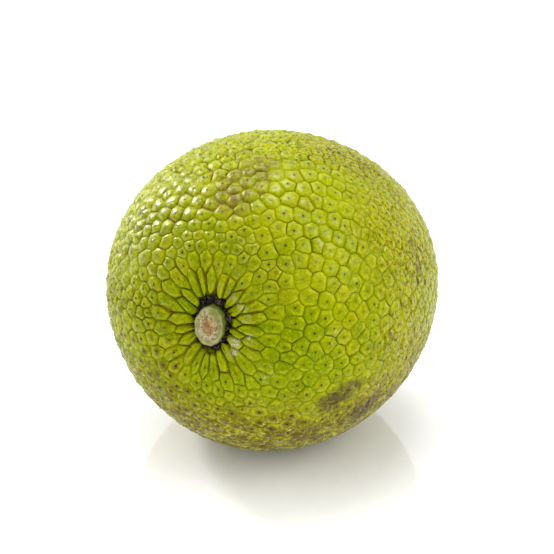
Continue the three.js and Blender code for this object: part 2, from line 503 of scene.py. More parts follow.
# the cut stub of the stalk
stub = {
    "segments": 96,
    "edgeSteps": 4,
    "faceSteps": 18,
    "foot": 0.0080,
    "radius": 0.0078,
    "flare": 1.02,  # of the radius, just over the foot
    "egg": (0.10, 0.5),  # this share broader below and narrower above, turned by this many radians
    "below": 0.0029,  # foot under the pocket's mouth
    "sides": (-0.0010, 0.0012),  # heights over the pocket's mouth of the flare and of the straight side
    "above": 0.0036,  # cut face over the pocket's mouth
    "edge": 0.0008,  # rounded rim of the cut face
    "bulge": 0.0004,  # the middle of the cut face stands this much over its rim
    "core": 0.60,  # tan middle, as a share of the face
    "groove": (0.00025, 0.06),  # depth and width of the ring round the tan middle
    "sag": 0.0006,  # the cut face sits this much lower than the foot
    "waves": ((2, 0.022, 0.7), (3, 0.014, -0.4)),  # in the outline: how many, how strong, and their turn
    "ribs": 11,
    "ribDepth": 0.00016,
    "ribSway": 2.2,
    "bark": (2.6, 160, 0.00012),  # roughness of the side: pace round it, pace along it, and strength
    "grainPace": 1300,
    "grain": (0.00030, 0.00014),  # in the tan middle, and round it
    "reliefPace": 420,
    "relief": 0.00022,
    # past 1, the share of the face tells the finish how far down the side it is:
    "sideShares": (1.3, 1.2, 1.12),  # at the foot, along the side, and where the rounded rim begins
    "rimShareStep": 0.03,
}


# a place on the oval stub: radius, angle round it, height over the pocket's mouth
def onStub(radius, angle, over):
    across = radius * (1 - stalk["oval"]) * math.cos(angle)
    up = radius * (1 + stalk["oval"]) * math.sin(angle)
    share, turn = stub["egg"]
    egg = 1 - share * math.sin(angle + turn)
    sag = stub["sag"] * (over + stub["below"]) / (stub["above"] + stub["below"])
    return mouthCentre + acrossWay * across * egg + upWay * (up - sag) + stalkWay * over


# radius, height over the mouth, and share of the face, from the foot up and in to the middle
def stubProfile():
    foot, radius, top, edge = stub["foot"], stub["radius"], stub["above"], stub["edge"]
    flareHeight, sideHeight = stub["sides"]
    footShare, sideShare, rimShare = stub["sideShares"]
    profile = [(foot, -stub["below"], footShare), (radius * stub["flare"], flareHeight, sideShare)]
    profile += [(radius, sideHeight, sideShare), (radius, top - edge * 1.1, rimShare)]
    for i in range(1, stub["edgeSteps"] + 1):
        bend = math.pi / 2 * i / stub["edgeSteps"]
        rimRadius = radius - edge * (1 - math.cos(bend))
        profile.append((rimRadius, top - edge * (1 - math.sin(bend)), rimShare - stub["rimShareStep"] * i))
    depth, width = stub["groove"]
    for i in range(1, stub["faceSteps"]):
        part = 1 - i / stub["faceSteps"]
        dip = -depth * math.exp(-((part - stub["core"]) / width) ** 2)
        profile.append(((radius - edge) * part, top + stub["bulge"] * (1 - part * part) + dip, part))
    return profile


def buildStub():
    bm = bmesh.new()
    share = bm.verts.layers.float.new("faceShare")
    over = bm.verts.layers.float.new("overMouth")
    bmesh.ops.create_circle(bm, cap_ends=True, segments=stub["segments"], radius=stub["foot"])
    face = bm.faces[:][0]
    angles = [2 * math.pi * i / stub["segments"] for i in range(stub["segments"])]
    paceRound, paceAlong, bark = stub["bark"]
    coreGrain, fleshGrain = stub["grain"]
    for row, (radius, lift, part) in enumerate(stubProfile()):
        if row:
            bmesh.ops.inset_individual(bm, faces=[face], thickness=0.00001)  # put in place below
        for angle, vert in zip(angles, face.verts):
            wobble = sum((depth * math.sin(n * angle + turn) for n, depth, turn in stub["waves"]), 1)
            rough = 0
            if part > 1:
                sway = stub["ribSway"] * math.sin(angle)
                rough = stub["ribDepth"] * math.sin(stub["ribs"] * angle + sway)
                place = Vector((math.cos(angle) * paceRound, math.sin(angle) * paceRound, lift * paceAlong))
                rough += bark * noise.noise(place)
            vert.co = onStub(radius * wobble + rough, angle, lift)
            if part <= 1:
                grain = coreGrain if part < stub["core"] else fleshGrain
                vert.co += stalkWay * noise.noise(vert.co * stub["grainPace"]) * grain
                vert.co += stalkWay * noise.noise(vert.co * stub["reliefPace"]) * stub["relief"]
            vert[share] = part
            vert[over] = lift
    tip = bmesh.ops.poke(bm, faces=[face])["verts"][0]
    tip[share] = 0
    bmesh.ops.recalc_face_normals(bm, faces=bm.faces)
    piece = makeObject("stem_stub", bm)
    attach(piece, "root")
    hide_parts("stem")
    return piece


stubPiece = buildStub()
print("stub", len(stubPiece.data.polygons), "faces")


# the dry fibres round its foot
fibres = {
    "crumbs": 780,
    "length": (0.0005, 0.0015),
    "thickness": (0.00020, 0.00052),
    "inner": 0.0078,
    "outer": 0.0106,
    "low": -0.0024,  # under the pocket's mouth
    "high": 0.0006,
    "settling": 1.4,  # over 1, more of them lie low
    "outerDrop": 0.35,  # how much lower the outermost stand, as a share of the height
    "splay": (-0.5, 0.7),  # leaning in and out
    "tumble": 0.9,
    "narrow": (0.5, 1),  # width as a share of the thickness
    "roughPace": 3000,
    "rough": 0.5,
    "seed": 5,
}


def buildFibres():
    rng = random.Random(fibres["seed"])
    bm = bmesh.new()
    tone = bm.faces.layers.float.new("crumbTone")
    for i in range(fibres["crumbs"]):
        angle = rng.uniform(0, 2 * math.pi)
        part = rng.random()
        radius = between((fibres["inner"], fibres["outer"]), part)
        oval = between((stalk["oval"], stalk["mouthOval"]), part)
        lift = (fibres["high"] - fibres["low"]) * rng.random() ** fibres["settling"]
        lift = fibres["low"] + lift * (1 - fibres["outerDrop"] * part)
        place = mouthCentre + stalkWay * lift
        place += acrossWay * radius * (1 - oval) * math.cos(angle)
        place += upWay * radius * (1 + oval) * math.sin(angle)
        outward = (acrossWay * math.cos(angle) + upWay * math.sin(angle)).normalized()
        way = stalkWay + outward * rng.uniform(*fibres["splay"]) + randomVector(rng, fibres["tumble"])
        length = rng.uniform(*fibres["length"])
        thick = rng.uniform(*fibres["thickness"])
        crumb = bmesh.ops.create_icosphere(bm, subdivisions=1, radius=1)["verts"]
        shade = rng.random()
        for face in set(face for vert in crumb for face in vert.link_faces):
            face[tone] = shade
        sizes = Vector((thick, thick * rng.uniform(*fibres["narrow"]), length / 2))
        bmesh.ops.scale(bm, vec=sizes, verts=crumb)
        for vert in crumb:
            shake = noise.noise_vector(vert.co * fibres["roughPace"] + Vector((i, i, i)))
            vert.co += shake * thick * fibres["rough"]
        turn = way.normalized().to_track_quat("Z", "Y").to_matrix()
        bmesh.ops.rotate(bm, cent=Vector(), matrix=turn, verts=crumb)
        bmesh.ops.translate(bm, vec=place, verts=crumb)
    piece = makeObject("collar_fibres", bm)
    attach(piece, "root")
    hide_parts("stem_collar")
    return piece


fibresPiece = buildFibres()
print("fibres", len(fibresPiece.data.polygons), "faces")


# dried latex: drops on the cut face, and crust on the cells beside the stalk
latex = {
    "faceDrops": 46,
    "dropSize": (0.00018, 0.00052),
    "dropShare": (0.50, 0.68),  # how far out on the cut face
    "dropSide": (2.5, 5.5),  # most of them lie between these angles, on its left and lower sides
    "onDropSide": 0.8,
    # crusts: distance from the stalk's axis, angle in degrees, flakes, spread, and mean size of a flake
    "crusts": (
        (0.014, -25, 26, 0.0017, 0.00060),
        (0.020, -10, 8, 0.0014, 0.00036),
        (0.016, -40, 22, 0.0017, 0.00054),
        (0.016, 40, 6, 0.0022, 0.00036),
        (0.018, 25, 6, 0.0018, 0.00034),
    ),
    "crustSizes": (0.5, 1.4),  # least and most, as shares of the mean
    "flatness": 0.20,
    "widths": (0.6, 1.3),  # least and most, as shares of the length
    "lumpPace": 1.4,
    "lumps": 0.55,
    "seed": 23,
}


# a small lump lying on a surface
def addFlake(bm, tree, near, size, rng):
    place, normal = tree.find_nearest(near)[:2]
    flake = bmesh.ops.create_icosphere(bm, subdivisions=2, radius=1)["verts"]
    shift = randomVector(rng, 50)  # gives each flake its own stretch of noise
    for vert in flake:
        vert.co += noise.noise_vector(vert.co * latex["lumpPace"] + shift) * latex["lumps"]
    wide = size * rng.uniform(*latex["widths"])
    bmesh.ops.scale(bm, vec=Vector((size, wide, size * latex["flatness"])), verts=flake)
    spin = Matrix.Rotation(rng.uniform(0, 6.3), 3, "Z")
    bmesh.ops.rotate(bm, cent=Vector(), matrix=spin, verts=flake)
    turn = normal.to_track_quat("Z", "Y").to_matrix()
    bmesh.ops.rotate(bm, cent=Vector(), matrix=turn, verts=flake)
    bmesh.ops.translate(bm, vec=place, verts=flake)


def buildLatex():
    rng = random.Random(latex["seed"])
    bm = bmesh.new()
    upToDate = bpy.context.evaluated_depsgraph_get()
    faceTree = BVHTree.FromObject(stubPiece, upToDate)
    skinTree = BVHTree.FromObject(rindPiece, upToDate)
    for i in range(latex["faceDrops"]):
        reach = latex["dropSide"] if rng.random() < latex["onDropSide"] else (0, 2 * math.pi)
        angle = rng.uniform(*reach)
        radius = stub["radius"] * rng.uniform(*latex["dropShare"])
        addFlake(bm, faceTree, onStub(radius, angle, stub["above"]), rng.uniform(*latex["dropSize"]), rng)
    for distance, angle, count, spread, size in latex["crusts"]:
        middle = onCore(wayNearStalk(distance, math.radians(angle)))[0]
        for i in range(count):
            offset = Vector([rng.gauss(0, spread * 0.5) for axis in range(3)])
            addFlake(bm, skinTree, middle + offset, size * rng.uniform(*latex["crustSizes"]), rng)
    piece = makeObject("latex_crust", bm)
    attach(piece, "root")
    return piece


latexPiece = buildLatex()
print("latex", len(latexPiece.data.polygons), "faces")


def srgb(red, green, blue):
    def channel(value):
        value /= 255
        return value / 12.92 if value <= 0.04045 else ((value + 0.055) / 1.055) ** 2.4
    return (channel(red), channel(green), channel(blue), 1)


# a material on a piece, and short names for the nodes that its finish is made of
class Finish:
    def __init__(self, name, piece):
        self.material = bpy.data.materials.new(name)
        self.material.use_nodes = True
        self.nodes = self.material.node_tree.nodes
        self.links = self.material.node_tree.links
        self.shader = self.nodes["Principled BSDF"]
        self.place = self.nodes.new("ShaderNodeTexCoord").outputs["Object"]
        self.waves = {}
        piece.data.materials.clear()
        piece.data.materials.append(self.material)

    def feed(self, socket, value):
        if isinstance(value, bpy.types.NodeSocket):
            self.links.new(value, socket)
        else:
            socket.default_value = value

    def attribute(self, name):
        node = self.nodes.new("ShaderNodeAttribute")
        node.attribute_name = name
        return node.outputs["Fac"]

    # noise with settings that were used before is the same noise again
    def noise(self, scale, detail=3.0, rough=0.55, shift=(0, 0, 0), stretch=(1, 1, 1)):
        settings = (scale, detail, rough, shift, stretch)
        if settings not in self.waves:
            self.waves[settings] = self.newNoise(*settings)
        return self.waves[settings]

    def newNoise(self, scale, detail, rough, shift, stretch):
        mapping = self.nodes.new("ShaderNodeMapping")
        self.links.new(self.place, mapping.inputs["Vector"])
        mapping.inputs["Location"].default_value = shift
        mapping.inputs["Scale"].default_value = stretch
        node = self.nodes.new("ShaderNodeTexNoise")
        self.links.new(mapping.outputs["Vector"], node.inputs["Vector"])
        node.inputs["Scale"].default_value = scale
        node.inputs["Detail"].default_value = detail
        node.inputs["Roughness"].default_value = rough
        return node.outputs[0]

    def ramp(self, value, low, high, outLow=0.0, outHigh=1.0):
        node = self.nodes.new("ShaderNodeMapRange")
        node.interpolation_type = "SMOOTHSTEP"
        sockets = ("Value", "From Min", "From Max", "To Min", "To Max")
        for name, number in zip(sockets, (value, low, high, outLow, outHigh)):
            self.feed(node.inputs[name], number)
        return node.outputs["Result"]

    # 1 below the first level, falling to 0 at the second
    def fall(self, value, low, high):
        return self.ramp(value, low, high, 1.0, 0.0)

    # noise turned into patches: 0 below the first level, 1 above the second
    def patches(self, low, high, *settings):
        return self.ramp(self.noise(*settings), low, high)

    def calc(self, operation, first, second=0.0):
        node = self.nodes.new("ShaderNodeMath")
        node.operation = operation
        self.feed(node.inputs[0], first)
        self.feed(node.inputs[1], second)
        return node.outputs[0]

    def times(self, *values):
        result = values[0]
        for value in values[1:]:
            result = self.calc("MULTIPLY", result, value)
        return result

    # a value that wanders up and down by about the given amount
    def shaken(self, value, wave, amount):
        return self.calc("ADD", value, self.times(self.calc("SUBTRACT", wave, 0.5), amount * 2))

    def mix(self, amount, first, second):
        node = self.nodes.new("ShaderNodeMix")
        node.data_type = "RGBA"
        self.feed(node.inputs["Factor"], amount)
        self.feed(node.inputs[6], first)
        self.feed(node.inputs[7], second)
        return node.outputs[2]

    # lays a colour over the ones so far, by the product of the shares
    def lay(self, colour, *shares):
        self.base = self.mix(self.times(*shares), self.base, colour)

    # 1 near a place on the piece, fading to 0 at the radius from about a third of the way out
    def spot(self, centre, radius, ragged=0.0, scale=120):
        node = self.nodes.new("ShaderNodeVectorMath")
        node.operation = "DISTANCE"
        self.links.new(self.place, node.inputs[0])
        node.inputs[1].default_value = centre
        away = node.outputs["Value"]
        if ragged:
            away = self.shaken(away, self.noise(scale), ragged)
        return self.fall(away, radius * 0.35, radius)

    # 1 near any of several places
    def anySpot(self, places, ragged=0.0):
        result = 0.0
        for centre, radius in places:
            result = self.calc("MAXIMUM", result, self.spot(centre, radius, ragged))
        return result

    # an operation on the way from the centre and another vector
    def fromPlace(self, operation, centre, other):
        offset = self.nodes.new("ShaderNodeVectorMath")
        offset.operation = "SUBTRACT"
        self.links.new(self.place, offset.inputs[0])
        offset.inputs[1].default_value = centre
        node = self.nodes.new("ShaderNodeVectorMath")
        node.operation = operation
        self.links.new(offset.outputs[0], node.inputs[0])
        node.inputs[1].default_value = other
        return node.outputs

    # distance from the stalk's axis, and height along it over the pocket's mouth
    def roundStalk(self):
        sideways = self.fromPlace("CROSS_PRODUCT", mouthCentre, stalkWay)[0]
        node = self.nodes.new("ShaderNodeVectorMath")
        node.operation = "LENGTH"
        self.links.new(sideways, node.inputs[0])
        return node.outputs["Value"], self.fromPlace("DOT_PRODUCT", mouthCentre, stalkWay)["Value"]

    def along(self, axis):
        node = self.nodes.new("ShaderNodeSeparateXYZ")
        self.links.new(self.place, node.inputs[0])
        return node.outputs[axis]

    def bump(self, height, distance, strength=1.0, onto=None):
        node = self.nodes.new("ShaderNodeBump")
        node.inputs["Strength"].default_value = strength
        node.inputs["Distance"].default_value = distance
        self.links.new(height, node.inputs["Height"])
        if onto:
            self.links.new(onto, node.inputs["Normal"])
        return node.outputs["Normal"]

    def complete(self, roughness, normal):
        for name, value in (("Base Color", self.base), ("Roughness", roughness), ("Normal", normal)):
            self.feed(self.shader.inputs[name], value)


rindColours = {
    "deep": srgb(132, 150, 0),
    "lime": srgb(168, 180, 0),
    "pale": srgb(194, 202, 4),
    "gold": srgb(190, 180, 2),
    "fresh": srgb(118, 156, 0),
    "shade": srgb(104, 110, 0),
    # painted shade for the hollows along the cells' borders
    "rim": srgb(208, 212, 10),
    "seam": srgb(80, 58, 0),
    "redSeam": srgb(116, 62, 10),
    "pocket": srgb(34, 26, 10),
    "point": srgb(46, 34, 8),
    "halo": srgb(120, 116, 2),
    "olive": srgb(150, 118, 6),
    "brown": srgb(98, 66, 14),
    "umber": srgb(78, 54, 14),
    "dry": srgb(104, 78, 10),
    "bruise": srgb(84, 58, 40),
    "speck": srgb(100, 98, 4),
    "crackle": srgb(78, 70, 6),
    # pale specks, partly painted glints, and painted highlights on the underside
    "paleSpeckAndGlint": srgb(224, 226, 60),
    # painted sheen inside the cells
    "paintedMilkySheen": srgb(204, 212, 50),
    "fleck": srgb(232, 230, 164),
    "scuff": srgb(198, 190, 140),
    "straw": srgb(194, 186, 36),
    "stain": srgb(142, 124, 44),
}
# marks on the skin: azimuth and elevation of each in degrees, and its radius
marks = {
    "stain": ((0, 60, 0.016), (10, 70, 0.012), (-5, 55, 0.013)),
    "speckle": ((85, 20, 0.024), (70, 5, 0.018), (110, 60, 0.018), (-115, 25, 0.020)),
    "dry": ((90, 30, 0.046), (75, -5, 0.036), (120, 60, 0.034), (65, -20, 0.030), (-115, 20, 0.034)),
    "bruise": ((40, -14, 0.008), (45, -12, 0.008), (50, -10, 0.006), (55, -25, 0.010), (60, -22, 0.009),
               (-135, -30, 0.010), (-125, -25, 0.009), (160, -5, 0.009)),
    "fresh": ((25, 5, 0.034), (-10, 20, 0.014), (0, -5, 0.016)),
    "flecked": ((35, 50, 0.006), (45, 25, 0.007), (50, 25, 0.006), (42, 10, 0.007), (20, 0, 0.007),
                (15, -10, 0.007)),
    "freckled": ((-20, -10, 0.036), (-50, 0, 0.030)),
    "shine": ((-35, 42, 0.037),),
    "sheen": ((25, 50, 0.046),),
}
# scuffs beside the stalk: distance from its axis, angle up from its right side in degrees, and radius
scuffs = ((0.014, -25, 0.0042), (0.020, -10, 0.0036), (0.016, -40, 0.0042),
          (0.016, 50, 0.0032), (0.017, 30, 0.0032), (0.018, 15, 0.0028))


def marksOnSkin(name):
    return [(tuple(onCore(wayFromFruit(azimuth, elevation))[0]), radius)
            for azimuth, elevation, radius in marks[name]]


def scuffsOnSkin():
    return [(tuple(onCore(wayNearStalk(distance, math.radians(angle)))[0]), radius)
            for distance, angle, radius in scuffs]


def finishRind(piece):
    f = Finish("waxyRind", piece)
    c = rindColours
    seamGap, seamForce = f.attribute("seamGap"), f.attribute("seamForce")
    pointGap, pointForce = f.attribute("pointGap"), f.attribute("pointForce")
    tone, warm, rugged = f.attribute("cellTone"), f.attribute("cellWarm"), f.attribute("rugged")
    broad = f.noise(22, 3, 0.5)
    middling = f.noise(150, 3, 0.6, (3, 1, 2))
    patchy = f.noise(330, 2, 0.5, (2, 6, 3))
    fine = f.noise(900, 3, 0.6, (7, 5, 1))
    grainy = f.noise(2000, 2, 0.6, (6, 2, 9))
    up = f.along("Z")
    axisGap, overMouth = f.roundStalk()
    stalkSide = f.ramp(overMouth, -0.020, -0.010)

    # ground colour: lime, greener where it is fresh, olive beneath, and paler and yellower above, which is
    # painted sheen and light
    f.base = f.mix(f.ramp(broad, 0.38, 0.62), c["deep"], c["lime"])
    # painted sheen and light: paler towards the top
    f.lay(c["pale"], f.ramp(up, 0.07, 0.15), 0.35)
    f.lay(c["pale"], f.ramp(middling, 0.42, 0.70), 0.45)
    f.lay(c["gold"], f.ramp(warm, 0.50, 1.0), 0.45)
    f.lay(c["deep"], f.ramp(tone, 0.5, 0.0), 0.52)
    for centre, radius in marksOnSkin("fresh"):
        f.lay(c["fresh"], f.spot(centre, radius, 0.004), 0.60)
    beneath = f.fall(f.shaken(up, broad, 0.020), 0.031, 0.068)
    f.lay(c["olive"], beneath, 0.85)
    for wave, paleShare, deepShare in ((fine, 0.44, 0.46), (grainy, 0.40, 0.42)):
        f.lay(c["rim"], f.ramp(wave, 0.50, 0.64), paleShare)
        f.lay(c["deep"], f.ramp(wave, 0.50, 0.36), deepShare)

    # painted shade darkens each cell towards its border, down into the seam, with a pale, broken rim just
    # inside
    grownShut = f.ramp(f.shaken(up, broad, 0.030), 0.078, 0.050)
    grownShut = f.calc("MINIMUM", grownShut, f.ramp(axisGap, 0.020, 0.028))
    paintedShadeStrength = f.times(f.ramp(seamForce, 0.15, 1.0, 0.10, 0.70), f.ramp(rugged, 0.4, 1.0, 1.0, 0.55))
    paintedShadeStrength = f.times(paintedShadeStrength, f.ramp(grownShut, 0.0, 1.0, 1.0, 0.45))
    # painted shade in the hollow along each border
    f.lay(c["shade"], f.fall(seamGap, 0.0001, 0.0005), paintedShadeStrength, 0.6)
    rimBand = f.times(f.ramp(seamGap, 0.0003, 0.0007), f.fall(seamGap, 0.0012, 0.0028))
    f.lay(c["rim"], rimBand, f.ramp(patchy, 0.44, 0.64, 0.0, 0.60))

    # dry skin is straw-coloured and full of short brown streaks
    dryness = f.anySpot(marksOnSkin("dry"), 0.010)
    f.lay(c["straw"], dryness, f.ramp(patchy, 0.40, 0.56), 0.65)
    f.lay(c["dry"], dryness, f.patches(0.52, 0.57, 700, 3, 0.6, (3, 3, 3), (1.2, 1.2, 0.6)), 0.68)

    # rugged skin is full of small dark specks, and pale specks that are partly painted glints
    coarse = f.ramp(rugged, 0.45, 0.95)
    f.lay(c["speck"], f.patches(0.54, 0.60, 900, 2, 0.6, (1, 4, 4), (1, 1, 0.7)), coarse, 0.50)
    f.lay(c["paleSpeckAndGlint"], f.patches(0.54, 0.59, 900, 2, 0.6, (4, 1, 9), (1, 1, 0.8)), coarse, 0.50)
    # and it and the underside of thin, winding, broken cracks
    winding = f.calc("ABSOLUTE", f.calc("SUBTRACT", f.noise(240, 2, 0.5, (6, 6, 6)), 0.5))
    winding = f.times(f.fall(winding, 0.020, 0.060), f.patches(0.46, 0.54, 170, 2, 0.5, (3, 9, 3)))
    worn = f.calc("MAXIMUM", f.ramp(rugged, 0.35, 0.80), f.ramp(up, 0.060, 0.035))
    f.lay(c["crackle"], winding, worn, 0.45)

    # painted sheen: soft pale patches of highlight inside the cells
    f.lay(c["paintedMilkySheen"], f.patches(0.57, 0.66, 310, 3, 0.6, (7, 7, 2)), f.ramp(seamGap, 0.0006, 0.0014), 0.45)

    # the underside: bare brown patches, pale streaks of painted highlight, darker umber spots, blotches
    # round the points, and painted sparkles
    freckled = beneath
    for centre, radius in marksOnSkin("freckled"):
        freckled = f.calc("MAXIMUM", freckled, f.times(f.spot(centre, radius, 0.008), 0.55))
    nearPoint = f.fall(f.shaken(pointGap, fine, 0.0010), 0.0009, 0.0030)
    blotch = f.times(f.patches(0.38, 0.54, 130, 2, 0.5, (5, 2, 8)), nearPoint)
    blotch = f.times(blotch, f.ramp(freckled, 0.0, 0.8, 0.04, 1.0))
    for centre, radius in marksOnSkin("stain"):
        f.lay(c["stain"], f.spot(centre, radius, 0.006), 0.75, f.ramp(patchy, 0.38, 0.58))
    wide = f.patches(0.46, 0.58, 120, 4, 0.65, (8, 8, 1), (1, 1, 1.5))
    # painted highlights in pale streaks, mostly outside the wide brown patches
    paintedRidgeHighlights = f.patches(0.54, 0.59, 480, 4, 0.6, (5, 5, 2), (1, 1, 1.6))
    paintedRidgeHighlights = f.times(paintedRidgeHighlights, f.ramp(wide, 0.0, 1.0, 0.8, 0.3))
    umberSpots = f.patches(0.50, 0.56, 380, 3, 0.55, (5, 1, 2), (1, 1, 1.4))
    umberSpots = f.times(umberSpots, f.ramp(wide, 0.0, 1.0, 0.3, 0.9))
    f.lay(c["brown"], wide, beneath, 0.60)
    f.lay(c["umber"], umberSpots, beneath, 0.60)
    f.lay(c["paleSpeckAndGlint"], paintedRidgeHighlights, beneath)
    f.lay(c["brown"], blotch, f.ramp(beneath, 0.2, 0.9, 1.0, 0.8))
    # painted sparkles of highlight beneath, and fainter on dry skin
    paintedSparkles = f.times(f.patches(0.65, 0.68, 640, 2, 0.5, (9, 5, 1)),
                     f.calc("MAXIMUM", beneath, f.times(dryness, 0.5)))
    f.lay(c["fleck"], paintedSparkles, 0.85)

    # dark speckles, and bruises
    specks = f.patches(0.54, 0.64, 420, 2, 0.5, (1, 9, 4), (1, 1, 0.5))
    for centre, radius in marksOnSkin("speckle"):
        f.lay(c["bruise"], f.spot(centre, radius, 0.004), specks, 0.75)
    bruises = f.patches(0.26, 0.52, 260, 3, 0.6, (1, 5, 1), (1, 1, 1.8))
    for centre, radius in marksOnSkin("bruise"):
        f.lay(c["bruise"], f.spot(centre, radius, 0.004), bruises, 0.80)

    # red-brown patches where the petals round the stalk end
    ends = f.times(f.ramp(axisGap, 0.0165, 0.0195), f.fall(axisGap, 0.0215, 0.0255), stalkSide)
    ends = f.times(ends, f.fall(seamGap, 0.0003, 0.0016), f.patches(0.50, 0.60, 110, 2, 0.5, (1, 1, 7)))
    f.lay(c["redSeam"], ends, 0.50)

    # the seams: thin dark cracks where open, barely there where grown shut
    width = f.times(seamForce, f.ramp(rugged, 0.4, 0.9, 0.00014, 0.00034))
    width = f.shaken(width, fine, 0.00026)
    crack = f.fall(f.calc("SUBTRACT", seamGap, width), -0.00008, 0.00012)
    reddened = f.times(f.patches(0.40, 0.54, 60, 2, 0.5, (2, 7, 7)), 0.90)
    crackForce = f.times(f.ramp(seamForce, 0.10, 0.70, 0.30, 1.0), f.ramp(patchy, 0.38, 0.56, 0.30, 1.0))
    crackForce = f.times(crackForce, f.ramp(dryness, 0.1, 0.8, 1.0, 0.45))
    crackForce = f.times(crackForce, f.ramp(beneath, 0.2, 0.8, 1.0, 0.35))
    crackForce = f.times(crackForce, f.ramp(grownShut, 0.0, 1.0, 1.0, 0.45))
    f.lay(f.mix(reddened, c["seam"], c["redSeam"]), crack, crackForce)
    pocketShade = f.times(f.fall(overMouth, -0.0016, -0.0004), f.fall(axisGap, 0.0112, 0.0128))
    f.lay(c["pocket"], pocketShade, stalkSide)

    # the point of each cell, with a soft halo
    f.lay(c["halo"], f.fall(pointGap, 0.0005, 0.0014), pointForce, 0.5)
    reach = f.times(pointForce, f.ramp(freckled, 0.0, 0.5, 0.00048, 0.00066))
    reach = f.shaken(reach, fine, 0.0003)
    dot = f.fall(f.calc("SUBTRACT", pointGap, reach), -0.00008, 0.00014)
    f.lay(c["point"], dot, f.ramp(pointForce, 0.15, 0.75, 0.0, 0.95))

    # small dry flecks, and scuffs beside the stalk
    fleck = f.times(f.patches(0.68, 0.73, 1300, 2, 0.5, (8, 1, 6)), f.ramp(broad, 0.35, 0.65, 0.0, 0.5))
    clusters = f.patches(0.56, 0.66, 800, 3, 0.6, (1, 1, 7))
    clusters = f.times(clusters, f.anySpot(marksOnSkin("flecked"), 0.002))
    f.lay(c["fleck"], f.calc("MAXIMUM", fleck, f.times(clusters, 0.45)))
    flakes = f.patches(0.47, 0.56, 560, 3, 0.6, (4, 4, 1))
    for centre, radius in scuffsOnSkin():
        f.lay(c["scuff"], f.spot(centre, radius, 0.002), flakes, 0.85)

    gloss = f.ramp(middling, 0.3, 0.7, 0.18, 0.30)
    gloss = f.calc("ADD", gloss, f.times(crack, 0.25))
    gloss = f.calc("ADD", gloss, f.times(blotch, 0.15))
    soft = f.bump(f.noise(420, 4, 0.6, (9, 3, 3)), 0.00016)
    wrinkles = f.times(f.noise(900, 3, 0.6, (2, 3, 8)), f.ramp(rugged, 0.1, 0.8, 0.25, 1.0))
    f.complete(gloss, f.bump(wrinkles, 0.00042, 1.0, soft))
    f.shader.inputs["Specular IOR Level"].default_value = 0.24
    f.shader.inputs["Specular Tint"].default_value = (1.0, 1.0, 0.1, 1)

    # wax lies thickest on the upper side
    wax = f.spot(*marksOnSkin("shine")[0], 0.012, 60)
    wax = f.calc("MAXIMUM", wax, f.times(f.spot(*marksOnSkin("sheen")[0], 0.010, 60), 0.9))
    wax = f.times(wax, f.ramp(pointGap, 0.0016, 0.0034, 1.0, 0.1))
    f.feed(f.shader.inputs["Coat Weight"], f.times(wax, f.ramp(patchy, 0.38, 0.46)))
    f.shader.inputs["Coat IOR"].default_value = 1.6
    f.shader.inputs["Coat Roughness"].default_value = 0.14
    f.feed(f.shader.inputs["Coat Normal"], f.bump(f.noise(760, 3, 0.6, (2, 2, 2)), 0.00026))


finishRind(rindPiece)


stubColours = {
    "wood": srgb(168, 128, 64),
    "paleWood": srgb(216, 184, 118),
    "darkStreak": srgb(146, 104, 52),
    "paleStreak": srgb(232, 212, 168),
    "flesh": srgb(162, 150, 84),
    "paleFlesh": srgb(208, 198, 138),
    "grain": srgb(206, 200, 160),
    "spots": srgb(112, 112, 42),
    "rightSide": srgb(128, 134, 52),
    "edge": srgb(196, 194, 132),
    "top": srgb(138, 152, 34),
    "crust": srgb(222, 232, 204),
    "bark": srgb(92, 104, 8),
    "paleBark": srgb(136, 142, 40),
    "foot": srgb(46, 38, 18),
}


def finishStub(piece):
    f = Finish("cutStalk", piece)
    c = stubColours
    share, over = f.attribute("faceShare"), f.attribute("overMouth")
    grain = f.noise(1100, 4, 0.65)
    coarse = f.noise(420, 3, 0.6, (2, 2, 5))
    streaks = f.noise(640, 3, 0.6, (4, 0, 2), (1, 1, 0.35))
    edgeShare = f.shaken(share, coarse, 0.12)

    # the tan middle
    f.base = f.mix(f.ramp(grain, 0.38, 0.60), c["wood"], c["paleWood"])
    f.lay(c["darkStreak"], f.ramp(streaks, 0.54, 0.62), 0.7)
    f.lay(c["paleStreak"], f.ramp(streaks, 0.44, 0.36), 0.7)
    middle = f.base
    # the pale green flesh round it
    f.base = f.mix(f.ramp(coarse, 0.40, 0.60), c["flesh"], c["paleFlesh"])
    f.lay(c["grain"], f.ramp(grain, 0.50, 0.66), 0.6)
    f.lay(c["spots"], f.patches(0.54, 0.62, 760, 2, 0.5, (5, 1, 1)), 0.6)
    f.lay(c["rightSide"], f.spot(tuple(onStub(0.0085, 0.15, stub["above"])), 0.0072, 0.001, 300), 0.6)
    f.lay(c["edge"], f.ramp(share, 0.90, 0.99), 0.6)
    # and both together, with green at the top and a crust on the border between them, mostly below left
    f.base = f.mix(f.ramp(edgeShare, 0.60, 0.67), middle, f.base)
    greenTop = f.spot(tuple(onStub(0.0062, math.pi / 2 - 0.35, stub["above"])), 0.0034, 0.001, 400)
    f.lay(c["top"], greenTop, f.ramp(coarse, 0.40, 0.55, 0.4, 0.9))
    crust = f.times(f.ramp(edgeShare, 0.50, 0.57), f.fall(edgeShare, 0.60, 0.70))
    lowLeft = f.spot(tuple(onStub(0.0040, -2.4, stub["above"])), 0.0110)
    f.lay(c["crust"], crust, lowLeft, f.ramp(grain, 0.46, 0.56), 0.8)

    side = f.mix(f.ramp(coarse, 0.35, 0.7), c["bark"], c["paleBark"])
    side = f.mix(f.ramp(over, -0.0010, 0.0024, 0.9, 0.0), side, c["foot"])
    f.lay(side, f.ramp(share, 1.0, 1.08))
    f.complete(f.ramp(grain, 0.3, 0.7, 0.36, 0.62), f.bump(grain, 0.00030))


finishStub(stubPiece)


fibreColours = {
    "dark": srgb(34, 24, 16),
    "brown": srgb(88, 68, 50),
    "grey": srgb(134, 116, 100),
    "pale": srgb(178, 166, 156),
}


